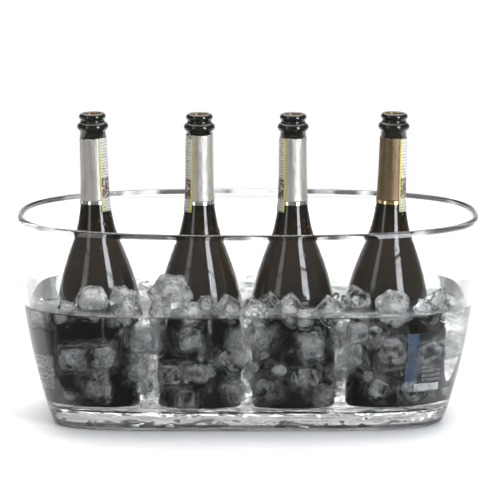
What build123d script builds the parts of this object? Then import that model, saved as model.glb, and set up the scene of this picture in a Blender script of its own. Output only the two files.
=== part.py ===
from build123d import *
import math
import os
import random

# An oval clear bowl for chilling wine, charged with four sparkling wine bottles, water and ice.
# Millimetres. X runs along the row of bottles, -Y is the front, +Z is up, and the bowl stands on Z = 0.

# --- Bowl ---
BOWL_HEIGHT = 220.5
RIM_HALF_LENGTH = 244.5
RIM_HALF_WIDTH = 138.0
LENGTH_FLARE = 35.4  # how much longer each half is at the rim than at the base
WIDTH_FLARE = 54.0
FLARE_POWER = 2.0  # the wall leans out at the base and stands nearly upright at the rim
RIM_SQUARENESS = 2.57  # exponent of the superellipse: 2 is an ellipse, more is squarer
BASE_SQUARENESS = 4.5
SQUARENESS_POWER = 1.7
WALL = 5.0
FLOOR = 21.0
RIM_ROUND = 2.2
BASE_ROUND = 5.0
FLOOR_ROUND = 11.0
OUTLINE_SIDES = 8
SIDE_STEPS = 5
WALL_LEVELS = 6
ROUND_STEPS = 4

# --- Water and ice ---
WATER_LEVEL = 132.0
WATER_GAP = 0.05  # between the water and the bowl's inner wall
SOCKET_RADIUS = 45.2  # the straight hole that each bottle leaves in the water
ICE_GAP = 0.3
ICE_ROUND = 0.16  # edge radius of a cube, as a share of its side
ICE_SEED = 11

# --- Bottle, from its own base up ---
BOTTLE_RADIUS = 44.3
FOOT_RADIUS = 36.0
HEEL_RADIUS = 8.3
PUNT_HEIGHT = 21.0
FLOOR_GAP = 0.25  # between a bottle's foot and the bowl's floor
BOTTLE_HEIGHT = 304.0
BORE_RADIUS = 9.0
BORE_BOTTOM = 228.0
WINE_LEVEL = 223.0
WINE_GAP = 0.06
SKIN_GAP = 0.12  # between the glass and what is wrapped on it
FOIL_THICKNESS = 0.3
FOIL_BOTTOM, FOIL_TOP = 211.5, 280.0
BAND_BOTTOM, BAND_TOP, BAND_THICKNESS = 208.0, 211.3, 0.5
STRIP_BOTTOM, STRIP_TOP, STRIP_THICKNESS, STRIP_ANGLE = 200.0, 278.0, 0.25, 52.0
LABEL_BOTTOM, LABEL_TOP, LABEL_THICKNESS, LABEL_ANGLE = 20.0, 82.0, 0.25, 118.0
# The outside of the glass, from the top of the straight body to the neck, and the inside beside it.
SHOULDER = [(44.3, 90), (43.2, 108), (38.6, 129), (31.2, 151), (21.8, 176), (16.7, 200), (15.3, 214), (14.5, 232)]
SHOULDER_INSIDE = [(41.6, 90), (40.4, 108), (35.6, 129), (28.0, 151), (17.9, 176), (11.5, 200), (9.0, 228)]
NECK_TOP_RADIUS, NECK_TOP = 13.9, 285.6

# Each bottle: its base's X, how far it leans to +X in degrees, and where its strip and label face,
# in degrees about its axis from +X.
BOTTLES = [
    {"x": -158.0, "lean": -1.3, "strip": -38.0, "label": 158.0},
    {"x": -51.5, "lean": 0.0, "strip": -146.0, "label": 90.0},
    {"x": 47.8, "lean": 0.0, "strip": -150.0, "label": 75.0},
    {"x": 146.5, "lean": 1.6, "strip": -36.0, "label": -12.0},
]

# Cubes that stand out of the water: X, Y, how high the centre is over the water, side, and the turns
# about Z, X and Y in degrees.
FRONT_CUBES = [
    (206, -46, -4, 28, 24, 36, 40),
    (-81, -70, 13, 34, 35, 40, 12),
    (150, -80, 2, 28, 8, 50, 30),
    (116, -64, 4, 25, 55, 30, 42),
    (-163, -70, 5, 28, 20, 30, 10),
    (-137, -69, 9, 23, 50, 38, 20),
    (-124, -99, 1, 24, 10, 20, 40),
    (-99, -102, 0, 21, 30, 35, 20),
    (-59, -100, 0, 21, 15, 44, 5),
    (-43, -74, 3, 18, 40, 20, 15),
    (-22, -84, 2, 22, 62, 28, 35),
    (3, -100, 2, 25, 5, 12, 25),
    (45, -84, -1, 26, 25, 20, 52),
    (84, -86, 0, 25, 80, 40, 10),
    (99, -36, -3, 20, 12, 30, 30),
    (-207, -38, -13, 26, 33, 25, 20),
    (182, -84, -3, 22, 44, 22, 15),
    (-189, -78, -5, 20, 10, 35, 15),
    (64, -108, -3, 18, 30, 45, 25),
    (24, -64, 2, 20, 40, 35, 45),
]
BACK_CUBES = [
    (-104, 38, -13, 25, 15, 40, 20),
    (-184, 52, -16, 26, 25, 30, 40),
    (-130, 78, -12, 29, 60, 20, 45),
    (-70, 74, -11, 31, 20, 48, 15),
    (-32, 92, -14, 26, 70, 25, 30),
    (4, 62, -12, 28, 35, 45, 30),
    (46, 84, -11, 30, 10, 25, 50),
    (92, 72, -14, 27, 50, 40, 20),
    (132, 86, -12, 29, 80, 30, 35),
    (176, 66, -13, 28, 15, 50, 25),
]
SUNK_SIDE = 28.0
SUNK_TRIES = 9000
SUNK_CUBES = 64
BAYS = ["far_left", "left", "middle", "right", "far_right"]


def half_sizes(z, inset=0.0):
    """The bowl's half length, half width and squareness at height z, taken in by inset."""
    share = 1 - z / BOWL_HEIGHT
    flare = max(share, 0.0) ** FLARE_POWER
    squareness = BASE_SQUARENESS - (BASE_SQUARENESS - RIM_SQUARENESS) * (z / BOWL_HEIGHT) ** SQUARENESS_POWER
    half_length = RIM_HALF_LENGTH - LENGTH_FLARE * flare - inset
    half_width = RIM_HALF_WIDTH - WIDTH_FLARE * flare - inset
    return half_length, half_width, squareness


def outline_point(turn, z, inset):
    half_length, half_width, squareness = half_sizes(z, inset)
    c, s = math.cos(turn), math.sin(turn)
    reach = (abs(c) ** squareness + abs(s) ** squareness) ** (-1 / squareness)
    return Vector(half_length * c * reach, half_width * s * reach, z)


def outline(z, inset=0.0):
    """The bowl's closed outline at height z, in as many edges as it has sides."""
    edges = []
    for side in range(OUTLINE_SIDES):
        turns = [2 * math.pi * (side + i / SIDE_STEPS) / OUTLINE_SIDES for i in range(SIDE_STEPS + 1)]
        points = [outline_point(turn, z, inset) for turn in turns]
        ends = [outline_point(turns[i] + 1e-4, z, inset) - outline_point(turns[i] - 1e-4, z, inset) for i in (0, -1)]
        edges.append(Spline(points, tangents=[end.normalized() for end in ends]))
    return Wire(edges)


def wall_body(bottom, top, inset=0.0):
    """The solid that fills the bowl's smooth outline from bottom to top."""
    heights = [bottom + (top - bottom) * i / (WALL_LEVELS - 1) for i in range(WALL_LEVELS)]
    return Solid.make_loft([outline(z, inset) for z in heights])


def rounded_body(edge_z, wall_z, inset, radius):
    """The short solid between a rounded edge at edge_z and the wall at wall_z."""
    levels = []
    for i in range(ROUND_STEPS + 1):
        turn = math.pi / 2 * i / ROUND_STEPS
        z = edge_z + (wall_z - edge_z) * (1 - math.cos(turn))
        levels.append(outline(z, inset + radius * (1 - math.sin(turn))))
    if wall_z < edge_z:
        levels.reverse()
    return Solid.make_loft(levels, ruled=True)


def make_bowl():
    rim_z = BOWL_HEIGHT - RIM_ROUND
    outside = wall_body(BASE_ROUND, rim_z)
    outside += rounded_body(0, BASE_ROUND, 0, BASE_ROUND)
    outside += rounded_body(BOWL_HEIGHT, rim_z, 0, RIM_ROUND)
    inside = wall_body(FLOOR + FLOOR_ROUND, rim_z, WALL)
    inside += rounded_body(FLOOR, FLOOR + FLOOR_ROUND, WALL, FLOOR_ROUND)
    inside += rounded_body(BOWL_HEIGHT, rim_z, WALL, -RIM_ROUND)
    return outside - inside


def place(bottle):
    """Where a bottle stands: leaning along X, with the low side of its foot on the bowl's floor."""
    foot_drop = FOOT_RADIUS * math.sin(math.radians(abs(bottle["lean"])))
    return Location((bottle["x"], 0, FLOOR + FLOOR_GAP + foot_drop), (0, bottle["lean"], 0))


def turned(edges, arc=360.0):
    """The solid that a closed outline in X and Z sweeps round the Z axis."""
    face = make_face([Plane.XZ * edge for edge in edges])
    return revolve(face, Axis.Z, arc)


def glass_outside():
    return turned(
        [
            ThreePointArc((0, PUNT_HEIGHT), (20, 15.0), (33, 2.5)),
            ThreePointArc((33, 2.5), (34.2, 0.6), (FOOT_RADIUS, 0)),
            JernArc((FOOT_RADIUS, 0), (1, 0), HEEL_RADIUS, 90),
            Line((BOTTLE_RADIUS, HEEL_RADIUS), SHOULDER[0]),
            Spline(SHOULDER, tangents=[(0, 1), (-0.01, 1)]),
            Line(SHOULDER[-1], (NECK_TOP_RADIUS, NECK_TOP)),
            ThreePointArc((NECK_TOP_RADIUS, NECK_TOP), (16.6, 289.4), (13.1, 294.4)),
            Line((13.1, 294.4), (12.7, 297.4)),
            ThreePointArc((12.7, 297.4), (14.3, 300.4), (12.6, BOTTLE_HEIGHT - 0.4)),
            ThreePointArc((12.6, BOTTLE_HEIGHT - 0.4), (11.2, BOTTLE_HEIGHT), (9.8, BOTTLE_HEIGHT - 0.5)),
            Line((9.8, BOTTLE_HEIGHT - 0.5), (0, BOTTLE_HEIGHT - 0.5)),
            Line((0, BOTTLE_HEIGHT - 0.5), (0, PUNT_HEIGHT)),
        ]
    )


def glass_inside(top, gap=0.0):
    """What the glass holds, up to a height, and smaller by a gap."""
    shoulder = [(r - gap, z) for r, z in SHOULDER_INSIDE]
    floor_height = PUNT_HEIGHT + 5.0 + gap
    corner = 12.0 + gap
    return turned(
        [
            ThreePointArc((0, floor_height), (20, 20.6 + gap), (34, 9.5 + gap)),
            ThreePointArc((34, 9.5 + gap), (39.0 - gap, 8.2 + gap), (41.6 - gap, corner)),
            Line((41.6 - gap, corner), shoulder[0]),
            Spline(shoulder, tangents=[(0, 1), (0, 1)]),
            Line(shoulder[-1], (BORE_RADIUS - gap, top)),
            Line((BORE_RADIUS - gap, top), (0, top)),
            Line((0, top), (0, floor_height)),
        ]
    )


def neck_line(bottom, top, gap):
    """A line up the neck's outside, a gap away from the glass, as points from bottom to top."""
    profile = [*SHOULDER, (NECK_TOP_RADIUS, NECK_TOP)]
    heights = [bottom, *(z for _, z in profile if bottom + 2 < z < top - 2), top]
    points = []
    for height in heights:
        for (r0, z0), (r1, z1) in zip(profile, profile[1:]):
            if z0 <= height <= z1:
                points.append((r0 + (r1 - r0) * (height - z0) / (z1 - z0) + gap, height))
                break
    return points


def skin(bottom, top, gap, thickness, arc=360.0):
    """A thin sleeve that follows the neck."""
    inner = neck_line(bottom, top, gap)
    outer = [(r + thickness, z) for r, z in inner]
    return turned(
        [
            *(Line(a, b) for a, b in zip(inner, inner[1:])),
            Line(inner[-1], outer[-1]),
            *(Line(b, a) for a, b in zip(outer, outer[1:])),
            Line(outer[0], inner[0]),
        ],
        arc,
    )


def make_bottle(bottle):
    """One bottle's pieces, by name, where they stand."""
    strip_gap = SKIN_GAP + BAND_THICKNESS + 0.06
    strip = skin(STRIP_BOTTOM, STRIP_TOP, strip_gap, STRIP_THICKNESS, STRIP_ANGLE)
    label_radius = BOTTLE_RADIUS + SKIN_GAP
    label = turned(
        [
            Line((label_radius, LABEL_BOTTOM), (label_radius + LABEL_THICKNESS, LABEL_BOTTOM)),
            Line((label_radius + LABEL_THICKNESS, LABEL_BOTTOM), (label_radius + LABEL_THICKNESS, LABEL_TOP)),
            Line((label_radius + LABEL_THICKNESS, LABEL_TOP), (label_radius, LABEL_TOP)),
            Line((label_radius, LABEL_TOP), (label_radius, LABEL_BOTTOM)),
        ],
        LABEL_ANGLE,
    )
    pieces = {
        "glass": glass_outside() - glass_inside(BOTTLE_HEIGHT),
        "wine": glass_inside(BOTTLE_HEIGHT, WINE_GAP) - Pos(0, 0, WINE_LEVEL + 100) * Cylinder(30, 200),
        "foil_sleeve": skin(FOIL_BOTTOM, FOIL_TOP, SKIN_GAP, FOIL_THICKNESS),
        "foil_band": skin(BAND_BOTTOM, BAND_TOP, SKIN_GAP, BAND_THICKNESS),
        "neck_strip": Rotation(0, 0, bottle["strip"] - STRIP_ANGLE / 2) * strip,
        "body_label": Rotation(0, 0, bottle["label"] - LABEL_ANGLE / 2) * label,
    }
    return {name: place(bottle) * piece for name, piece in pieces.items()}


def cube_place(cube):
    x, y, z, _, turn_z, turn_x, turn_y = cube
    return Location((x, y, z)) * Rotation(0, 0, turn_z) * Rotation(turn_x, turn_y, 0)


def corners(cube):
    """A cube's eight corners, with half the ice gap all round."""
    half = cube[3] / 2 + ICE_GAP / 2
    at = cube_place(cube)
    signs = [(i, j, k) for i in (-1, 1) for j in (-1, 1) for k in (-1, 1)]
    return [(at * Location((half * i, half * j, half * k))).position for i, j, k in signs]


def sides(cube):
    at = cube_place(cube)
    middle = at.position
    return [(at * Location(step)).position - middle for step in ((1, 0, 0), (0, 1, 0), (0, 0, 1))]


def apart(one, two):
    """True if a plane parts two cubes, each given as its corners and sides."""
    if (one["cube_middle"] - two["cube_middle"]).length > one["reach"] + two["reach"]:
        return True
    tests = [*one["sides"], *two["sides"]]
    tests += [a.cross(b) for a in one["sides"] for b in two["sides"]]
    for axis in tests:
        if axis.length < 1e-6:
            continue
        first = [axis.dot(corner) for corner in one["corners"]]
        second = [axis.dot(corner) for corner in two["corners"]]
        if max(first) < min(second) or max(second) < min(first):
            return True
    return False


def measured(cube):
    found = corners(cube)
    middle = cube_place(cube).position
    reach = (found[0] - middle).length
    return {"cube": cube, "corners": found, "sides": sides(cube), "cube_middle": middle, "reach": reach}


def in_bowl(piece):
    """True if a cube is inside the bowl's cavity."""
    for corner in piece["corners"]:
        half_length, half_width, squareness = half_sizes(corner.Z, WALL + 1.0)
        height_in_round = FLOOR + FLOOR_ROUND - corner.Z
        tuck = FLOOR_ROUND - math.sqrt(max(FLOOR_ROUND**2 - max(height_in_round, 0) ** 2, 0))
        if corner.Z < FLOOR + 0.4:
            return False
        if abs(corner.X / (half_length - tuck)) ** squareness + abs(corner.Y / (half_width - tuck)) ** squareness > 1:
            return False
    return True


def clear_of_bottles(piece):
    """True if a cube is outside the straight way up that each bottle takes."""
    heights = [corner.Z for corner in piece["corners"]]
    low, high = min(heights) - FLOOR, max(heights) - FLOOR
    flat = [(corner.X, corner.Y) for corner in piece["corners"]]
    for bottle in BOTTLES:
        slope = math.tan(math.radians(bottle["lean"]))
        for height in (low, high):
            axis_x = bottle["x"] + slope * height
            if gap_to_point(flat, axis_x) < SOCKET_RADIUS + 0.4:
                return False
    return True


def gap_to_point(flat, x):
    """How far a cube's shadow is from the point (x, 0). The shadow is the hull of its corners."""
    shadow = hull(flat)
    inside = True
    nearest = math.inf
    for (ax, ay), (bx, by) in zip(shadow, [*shadow[1:], shadow[0]]):
        dx, dy = bx - ax, by - ay
        px, py = x - ax, -ay
        if dx * py - dy * px < 0:
            inside = False
        along = min(max((px * dx + py * dy) / (dx * dx + dy * dy), 0), 1)
        nearest = min(nearest, math.hypot(px - along * dx, py - along * dy))
    return 0.0 if inside else nearest


def hull(points):
    """The convex hull of flat points, anticlockwise."""
    points = sorted(points)
    halves = []
    for run in (points, points[::-1]):
        half = []
        for p in run:
            while len(half) > 1 and turn_of(half[-2], half[-1], p) <= 0:
                half.pop()
            half.append(p)
        halves.append(half[:-1])
    return halves[0] + halves[1]


def turn_of(a, b, c):
    return (b[0] - a[0]) * (c[1] - a[1]) - (b[1] - a[1]) * (c[0] - a[0])


def fits(piece, others):
    return in_bowl(piece) and clear_of_bottles(piece) and all(apart(piece, other) for other in others)


def settle(cube, others, dice):
    """The cube as given, or moved and turned a little more at each try until it fits."""
    for attempt in range(400):
        spread = attempt / 25
        moved = [value + dice.uniform(-spread, spread) for value in cube[:2]]
        height = cube[2] + dice.uniform(-spread, spread) / 3
        turns = [value + dice.uniform(-3 * spread, 3 * spread) for value in cube[4:]]
        piece = measured((*moved, height, cube[3], *turns))
        if fits(piece, others):
            return piece
    return None


def float_cubes(cubes, others, dice):
    placed = []
    for x, y, lift, *rest in cubes:
        piece = settle((x, y, WATER_LEVEL + lift, *rest), [*others, *placed], dice)
        if piece:
            placed.append(piece)
    return placed


def sink_cubes(floating, dice):
    """Cubes under the water, dropped at random into the room that the bottles leave."""
    placed = []
    for _ in range(SUNK_TRIES):
        side = SUNK_SIDE * dice.uniform(0.78, 1.08)
        half_length, half_width, _ = half_sizes(WATER_LEVEL, WALL)
        x = dice.uniform(-half_length, half_length)
        y = dice.uniform(-half_width, half_width)
        z = dice.uniform(FLOOR + side / 2, WATER_LEVEL - side / 2 - 1)
        turns = [dice.uniform(0, 90) for _ in range(3)]
        piece = measured((x, y, z, side, *turns))
        if max(corner.Z for corner in piece["corners"]) > WATER_LEVEL - 0.5:
            continue
        if fits(piece, [*floating, *placed]):
            placed.append(piece)
        if len(placed) == SUNK_CUBES:
            break
    return placed


def ice_solid(cube):
    side = cube[3]
    block = Box(side, side, side)
    return cube_place(cube) * fillet(block.edges(), side * ICE_ROUND)


def bay_of(piece):
    """Which gap in the row of bottles a cube lies beside, and whether it is in front of the row."""
    place_x = piece["cube"][0]
    number = sum(place_x > bottle["x"] for bottle in BOTTLES)
    side = "front" if piece["cube"][1] < 0 else "back"
    return f"ice_sunk_{BAYS[number]}_{side}"


def grouped(pieces, name_of):
    groups = {}
    for piece in pieces:
        groups.setdefault(name_of(piece), []).append(ice_solid(piece["cube"]))
    return {name: Compound(children=solids) for name, solids in groups.items()}


def make_water(pieces):
    """The water: the bowl's cavity up to the water level, less the bottles and the ice."""
    water = wall_body(FLOOR + FLOOR_ROUND, WATER_LEVEL, WALL + WATER_GAP)
    water += rounded_body(FLOOR + WATER_GAP, FLOOR + FLOOR_ROUND, WALL + WATER_GAP, FLOOR_ROUND)
    depth = WATER_LEVEL - FLOOR
    for bottle in BOTTLES:
        socket = Cylinder(SOCKET_RADIUS, 3 * depth)
        water -= place(bottle) * socket
    blocks = []
    for piece in pieces:
        side = piece["cube"][3] + ICE_GAP / 2
        blocks.append(cube_place(piece["cube"]) * Box(side, side, side))
    return water - blocks


def main():
    os.makedirs("parts", exist_ok=True)
    dice = random.Random(ICE_SEED)
    front = float_cubes(FRONT_CUBES, [], dice)
    back = float_cubes(BACK_CUBES, front, dice)
    sunk = sink_cubes(front + back, dice)
    nodes = {"bowl": make_bowl(), "water": make_water(front + back + sunk)}
    for number, bottle in enumerate(BOTTLES, 1):
        for name, piece in make_bottle(bottle).items():
            nodes[f"bottle_{number}_{name}"] = piece
    for number, piece in enumerate(front, 1):
        nodes[f"ice_front_{number:02d}"] = ice_solid(piece["cube"])
    nodes |= grouped(back, lambda piece: "ice_back_left" if piece["cube"][0] < 0 else "ice_back_right")
    nodes |= grouped(sunk, bay_of)
    print(len(front), "cubes in front,", len(back), "behind,", len(sunk), "sunk,", len(nodes), "nodes")
    for name, shape in nodes.items():
        export_step(shape, f"parts/{name}.step")


main()
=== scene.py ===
"""Looks for the oval chilling bowl with four bottles, ice and water. Metres, in the CAD's frame."""

import math
import random

import bmesh
import bpy
import numpy as np
from mathutils import Matrix, Vector, geometry, noise


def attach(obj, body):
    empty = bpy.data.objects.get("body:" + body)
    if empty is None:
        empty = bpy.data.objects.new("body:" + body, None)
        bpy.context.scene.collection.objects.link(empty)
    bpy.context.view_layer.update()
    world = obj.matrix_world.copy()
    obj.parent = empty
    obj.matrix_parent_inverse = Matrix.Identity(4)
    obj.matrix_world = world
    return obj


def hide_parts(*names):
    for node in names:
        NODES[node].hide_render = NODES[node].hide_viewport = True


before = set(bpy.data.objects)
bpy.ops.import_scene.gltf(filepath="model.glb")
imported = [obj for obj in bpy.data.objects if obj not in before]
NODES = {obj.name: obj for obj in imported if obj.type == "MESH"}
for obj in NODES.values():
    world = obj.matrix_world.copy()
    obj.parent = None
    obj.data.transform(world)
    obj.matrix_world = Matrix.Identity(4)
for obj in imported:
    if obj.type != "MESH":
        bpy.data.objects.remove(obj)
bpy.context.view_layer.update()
MM = 0.001

# --- The bowl, as in the CAD, in millimetres ---
BOWL_HEIGHT = 220.5
RIM_HALF_LENGTH, RIM_HALF_WIDTH = 244.5, 138.0
LENGTH_FLARE, WIDTH_FLARE, FLARE_POWER = 35.4, 54.0, 2.0
RIM_SQUARENESS, BASE_SQUARENESS, SQUARENESS_POWER = 2.57, 4.5, 1.7
WALL, FLOOR = 5.0, 21.0
RIM_ROUND, BASE_ROUND, FLOOR_ROUND = 2.2, 5.0, 11.0
WATER_LEVEL, WATER_GAP, WATERLINE = 132.0, 0.05, 1.3

# --- The bottles, as in the CAD, in millimetres and degrees ---
FOOT_RADIUS, FLOOR_GAP, SOCKET_RADIUS = 36.0, 0.25, 45.2
BOTTLE_HEIGHT, BORE_RADIUS, PUNT_HEIGHT = 304.0, 9.0, 21.0
# Radius and height of points up the shoulder.
SHOULDER = [
    (44.3, 90),
    (43.2, 108),
    (38.6, 129),
    (31.2, 151),
    (21.8, 176),
    (16.7, 200),
    (15.3, 214),
    (14.5, 232),
]
NECK_TOP = (13.9, 285.6)
FOIL_BOTTOM = 211.5
FOIL_TOPS = (279.0, 283.6, 280.0, 279.4)  # torn lower or higher on each bottle
STRIP_BOTTOM, STRIP_TOP, STRIP_ANGLE = 200.0, 278.0, 52.0
STRIP_EDGE = 0.13  # the coloured share of the strip, on the side nearest the front
LABEL_BOTTOM, LABEL_TOP, LABEL_ANGLE = 20.0, 82.0, 118.0
BOTTLES = [
    {"x": -158.0, "lean": -1.3, "strip": -38.0, "label": 158.0},
    {"x": -51.5, "lean": 0.0, "strip": -146.0, "label": 90.0},
    {"x": 47.8, "lean": 0.0, "strip": -150.0, "label": 75.0},
    {"x": 146.5, "lean": 1.6, "strip": -36.0, "label": -12.0},
]

# --- Ice: how big its haze, its veil and its white core are beside the cube ---
SUNK_CLOUD = (1.42, 1.12, 0.80)
FLOAT_CLOUD = (0.80, 0.58, 0.36)
FLOAT_CLOUDS = {"ice_front_03": (0.96, 0.92, 0.86), "ice_front_05": (0.86, 0.74, 0.52)}
CLOUD_CLEAR = SOCKET_RADIUS + 0.5
DRY_CLOUD = ["haze", "veil", "core"]
WET_CLOUD = ["haze_wet", "veil_wet", "core_wet"]
SLUSH_GAPS = (-105.0, -2.0, 97.5)
SLUSH_PER_GAP, SLUSH_IN_FRONT = 18, 26
SLUSH_CLOUD = (1.5, 1.1, 0.75)

# --- Mesh detail ---
AROUND = 320  # points round the bowl
TURN_STEPS = 128  # points round a bottle
LABEL_COLUMNS, LABEL_ROWS = 59, 31
DROPLETS = 260
DROPLET_AROUND, DROPLET_RINGS = 10, 4
SUNK_VOXEL, FLOAT_VOXEL, CLOUD_VOXEL, CUTTER_VOXEL = 0.0016, 0.0010, 0.0022, 0.0024
CUT_DISTANCE = 1e-7
GLOSS_TILT = 0.03  # how far the wall's shading leans at least

# --- Light ---
CAMERA_PLACE = (0.0021, -2.738, 0.730)
CAMERA_PITCH = 11.4
CAMERA_LENS = 188.0
FLOOR_SIDE = 2.6
FLOOR_DROP = 0.0004
# The floor's parts: name, front edge, back edge, and whether gloss and glass show it. The lit strip in
# front gives the wall its pale reflection just over the water.
FLOOR_PARTS = [
    ("floor_front", -3.0, -0.36, False),
    ("floor_lit_strip", -0.36, -0.33, True),
    ("floor_shaded", -0.33, -0.10, False),
    ("floor_back", -0.10, 1.3, True),
]


# ---------------------------------------------------------------- materials


class Shader:
    """A material built round one Principled shader."""

    def __init__(self, name, **sockets):
        self.material = bpy.data.materials.new(name)
        self.material.use_nodes = True
        self.tree = self.material.node_tree
        self.main = self.tree.nodes["Principled BSDF"]
        for socket, value in sockets.items():
            self.main.inputs[socket.replace("_", " ")].default_value = value
        self.place = self.tree.nodes.new("ShaderNodeTexCoord").outputs["Object"]

    def node(self, kind, inputs=None, **settings):
        made = self.tree.nodes.new("ShaderNode" + kind)
        for name, value in settings.items():
            setattr(made, name, value)
        for name, value in (inputs or {}).items():
            self.feed(made.inputs[name], value)
        return made

    def feed(self, socket, value):
        if isinstance(value, bpy.types.NodeSocket):
            self.tree.links.new(value, socket)
        else:
            socket.default_value = value

    def stretch(self, scale):
        """The object's coordinates, scaled on each axis."""
        return self.node("Mapping", {"Vector": self.place, "Scale": scale}).outputs["Vector"]

    def noise(self, scale, detail=3.0, roughness=0.55, vector=None, distortion=0.0):
        inputs = {
            "Vector": vector or self.place,
            "Scale": scale,
            "Detail": detail,
            "Roughness": roughness,
            "Distortion": distortion,
        }
        return self.node("TexNoise", inputs).outputs["Fac"]

    def cells(self, scale, feature="F1", vector=None):
        found = self.node("TexVoronoi", {"Vector": vector or self.place, "Scale": scale}, feature=feature)
        return found.outputs["Distance"]

    def ramp(self, value, *stops):
        """Colours or greys at places from 0 to 1."""
        made = self.node("ValToRGB", {"Fac": value})
        elements = made.color_ramp.elements
        while len(elements) < len(stops):
            elements.new(0.5)
        for element, (at, colour) in zip(elements, stops):
            element.position = at
            element.color = (*colour, 1) if isinstance(colour, tuple) else (colour, colour, colour, 1)
        return made.outputs["Color"]

    def span(self, value, low, high, to_low=0.0, to_high=1.0):
        inputs = {"Value": value, "From Min": low, "From Max": high, "To Min": to_low, "To Max": to_high}
        return self.node("MapRange", inputs).outputs["Result"]

    def math(self, operation, one, two=0.0):
        made = self.node("Math", operation=operation)
        self.feed(made.inputs[0], one)
        self.feed(made.inputs[1], two)
        return made.outputs["Value"]

    def mix(self, share, one, two):
        made = self.node("Mix", data_type="RGBA")
        self.feed(made.inputs["Factor"], share)
        for name, colour in (("A", one), ("B", two)):
            socket = next(s for s in made.inputs if s.name == name and s.type == "RGBA")
            self.feed(socket, colour if isinstance(colour, bpy.types.NodeSocket) else (*colour, 1))
        return next(s for s in made.outputs if s.type == "RGBA")

    def bump(self, height, strength, distance):
        made = self.node("Bump", {"Height": height, "Strength": strength, "Distance": distance})
        self.set("Normal", made.outputs["Normal"])

    def split(self):
        parts = self.node("SeparateXYZ", {"Vector": self.place}).outputs
        return parts["X"], parts["Y"], parts["Z"]

    def set(self, socket, value):
        self.feed(self.main.inputs[socket], value)


def clear_acrylic(name, ior):
    """Clear plastic with painted shade: near-black grey painted in the rim, in the thick floor and bottom
    edge, and where the wall is seen edge on, for the dark surroundings these would reflect.
    """
    shader = Shader(name, Transmission_Weight=1.0, IOR=ior)
    z = shader.split()[2]

    def painted_shade_zone(clear_z, grey_z, pattern, low, high, least, most):
        """Painted shade that comes in from one height to another, and varies with a pattern."""
        share = shader.span(pattern, low, high, least, most)
        return shader.math("MULTIPLY", shader.span(z, clear_z, grey_z), share)

    # The rim: painted dark reflection, broken by a pattern into paler segments.
    patches = shader.noise(1.0, 2, 0.5, shader.stretch((26, 9, 3)))
    rim = painted_shade_zone(0.2146, 0.2156, patches, 0.62, 0.46, 0.30, 0.90)
    # Low down: painted shade over the thick floor and the bottom edge, in streaks.
    streaks = shader.noise(1.0, 3, 0.6, shader.stretch((14, 14, 420)))
    slab_shade = painted_shade_zone(0.0205, 0.0180, streaks, 0.35, 0.62, 0.20, 0.66)
    foot_shade = painted_shade_zone(0.0092, 0.0078, streaks, 0.62, 0.40, 0.90, 0.99)
    # Edge on: painted shade by facing, for the dark surroundings at the wall's silhouettes.
    edge = shader.span(shader.node("LayerWeight").outputs["Facing"], 0.45, 0.95, 0.0, 0.70)
    low_shade = shader.math("MAXIMUM", slab_shade, foot_shade)
    grey = shader.math("MAXIMUM", shader.math("MAXIMUM", rim, edge), low_shade)
    # The painted shade mixes Base Color from clear towards near black.
    shader.set("Base Color", shader.mix(grey, (0.985, 0.995, 0.99), (0.006, 0.006, 0.0055)))
    smudges = shader.noise(22, 4, 0.6)
    shader.set("Roughness", shader.span(smudges, 0.45, 0.75, 0.0, 0.012))
    waves = shader.math("MULTIPLY", shader.noise(34, 2, 0.5), shader.span(z, 0.022, 0.019))
    shader.bump(waves, 0.5, 0.006)
    return shader.material


def invisible(name):
    """A face that light passes as if it weren't there: here the clear media on both sides are the same."""
    shader = Shader(name, Base_Color=(1, 1, 1, 1), Alpha=0.0)
    return shader.material


def water_surface():
    shader = Shader("water", Transmission_Weight=1.0, IOR=1.333, Roughness=0.0)
    shader.set("Base Color", (0.93, 0.95, 0.95, 1))
    shader.bump(shader.noise(38, 2, 0.5), 0.12, 0.004)
    return shader.material


def ice_skin(name, ior, tint):
    shader = Shader(name, Base_Color=(*tint, 1), Transmission_Weight=1.0, IOR=ior)
    shader.set("Roughness", shader.span(shader.noise(160, 3), 0.4, 0.75, 0.01, 0.16))
    ripples = shader.noise(130, 3, 0.5)
    pits = shader.cells(420)
    shader.bump(shader.math("ADD", ripples, shader.math("MULTIPLY", pits, 0.35)), 0.35, 0.002)
    return shader.material


def ice_cloud(name, white, thin, thick, most):
    """The cloudy heart of an ice cube: wisps that let the rest show through."""
    shader = Shader(name, Roughness=0.8, Specular_IOR_Level=0.0)
    tone = shader.noise(90, 4, 0.6)
    shader.set("Base Color", shader.ramp(tone, (0.3, white * 0.72), (0.7, white)))
    wisps = shader.noise(58, 5, 0.6, distortion=0.9)
    shader.set("Alpha", shader.span(wisps, thin, thick, 0.0, most))
    return shader.material


def waterline():
    """The dark thread where the water climbs the wall: painted shade, a dark band on the water's side just
    under its surface.
    """
    shader = Shader("waterline", Roughness=0.3)
    broken = shader.noise(1.0, 3, 0.6, shader.stretch((30, 30, 5)))
    shader.set("Base Color", shader.ramp(broken, (0.3, 0.02), (0.7, 0.10)))
    shader.set("Alpha", shader.span(broken, 0.62, 0.42, 0.15, 0.8))
    return shader.material


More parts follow.
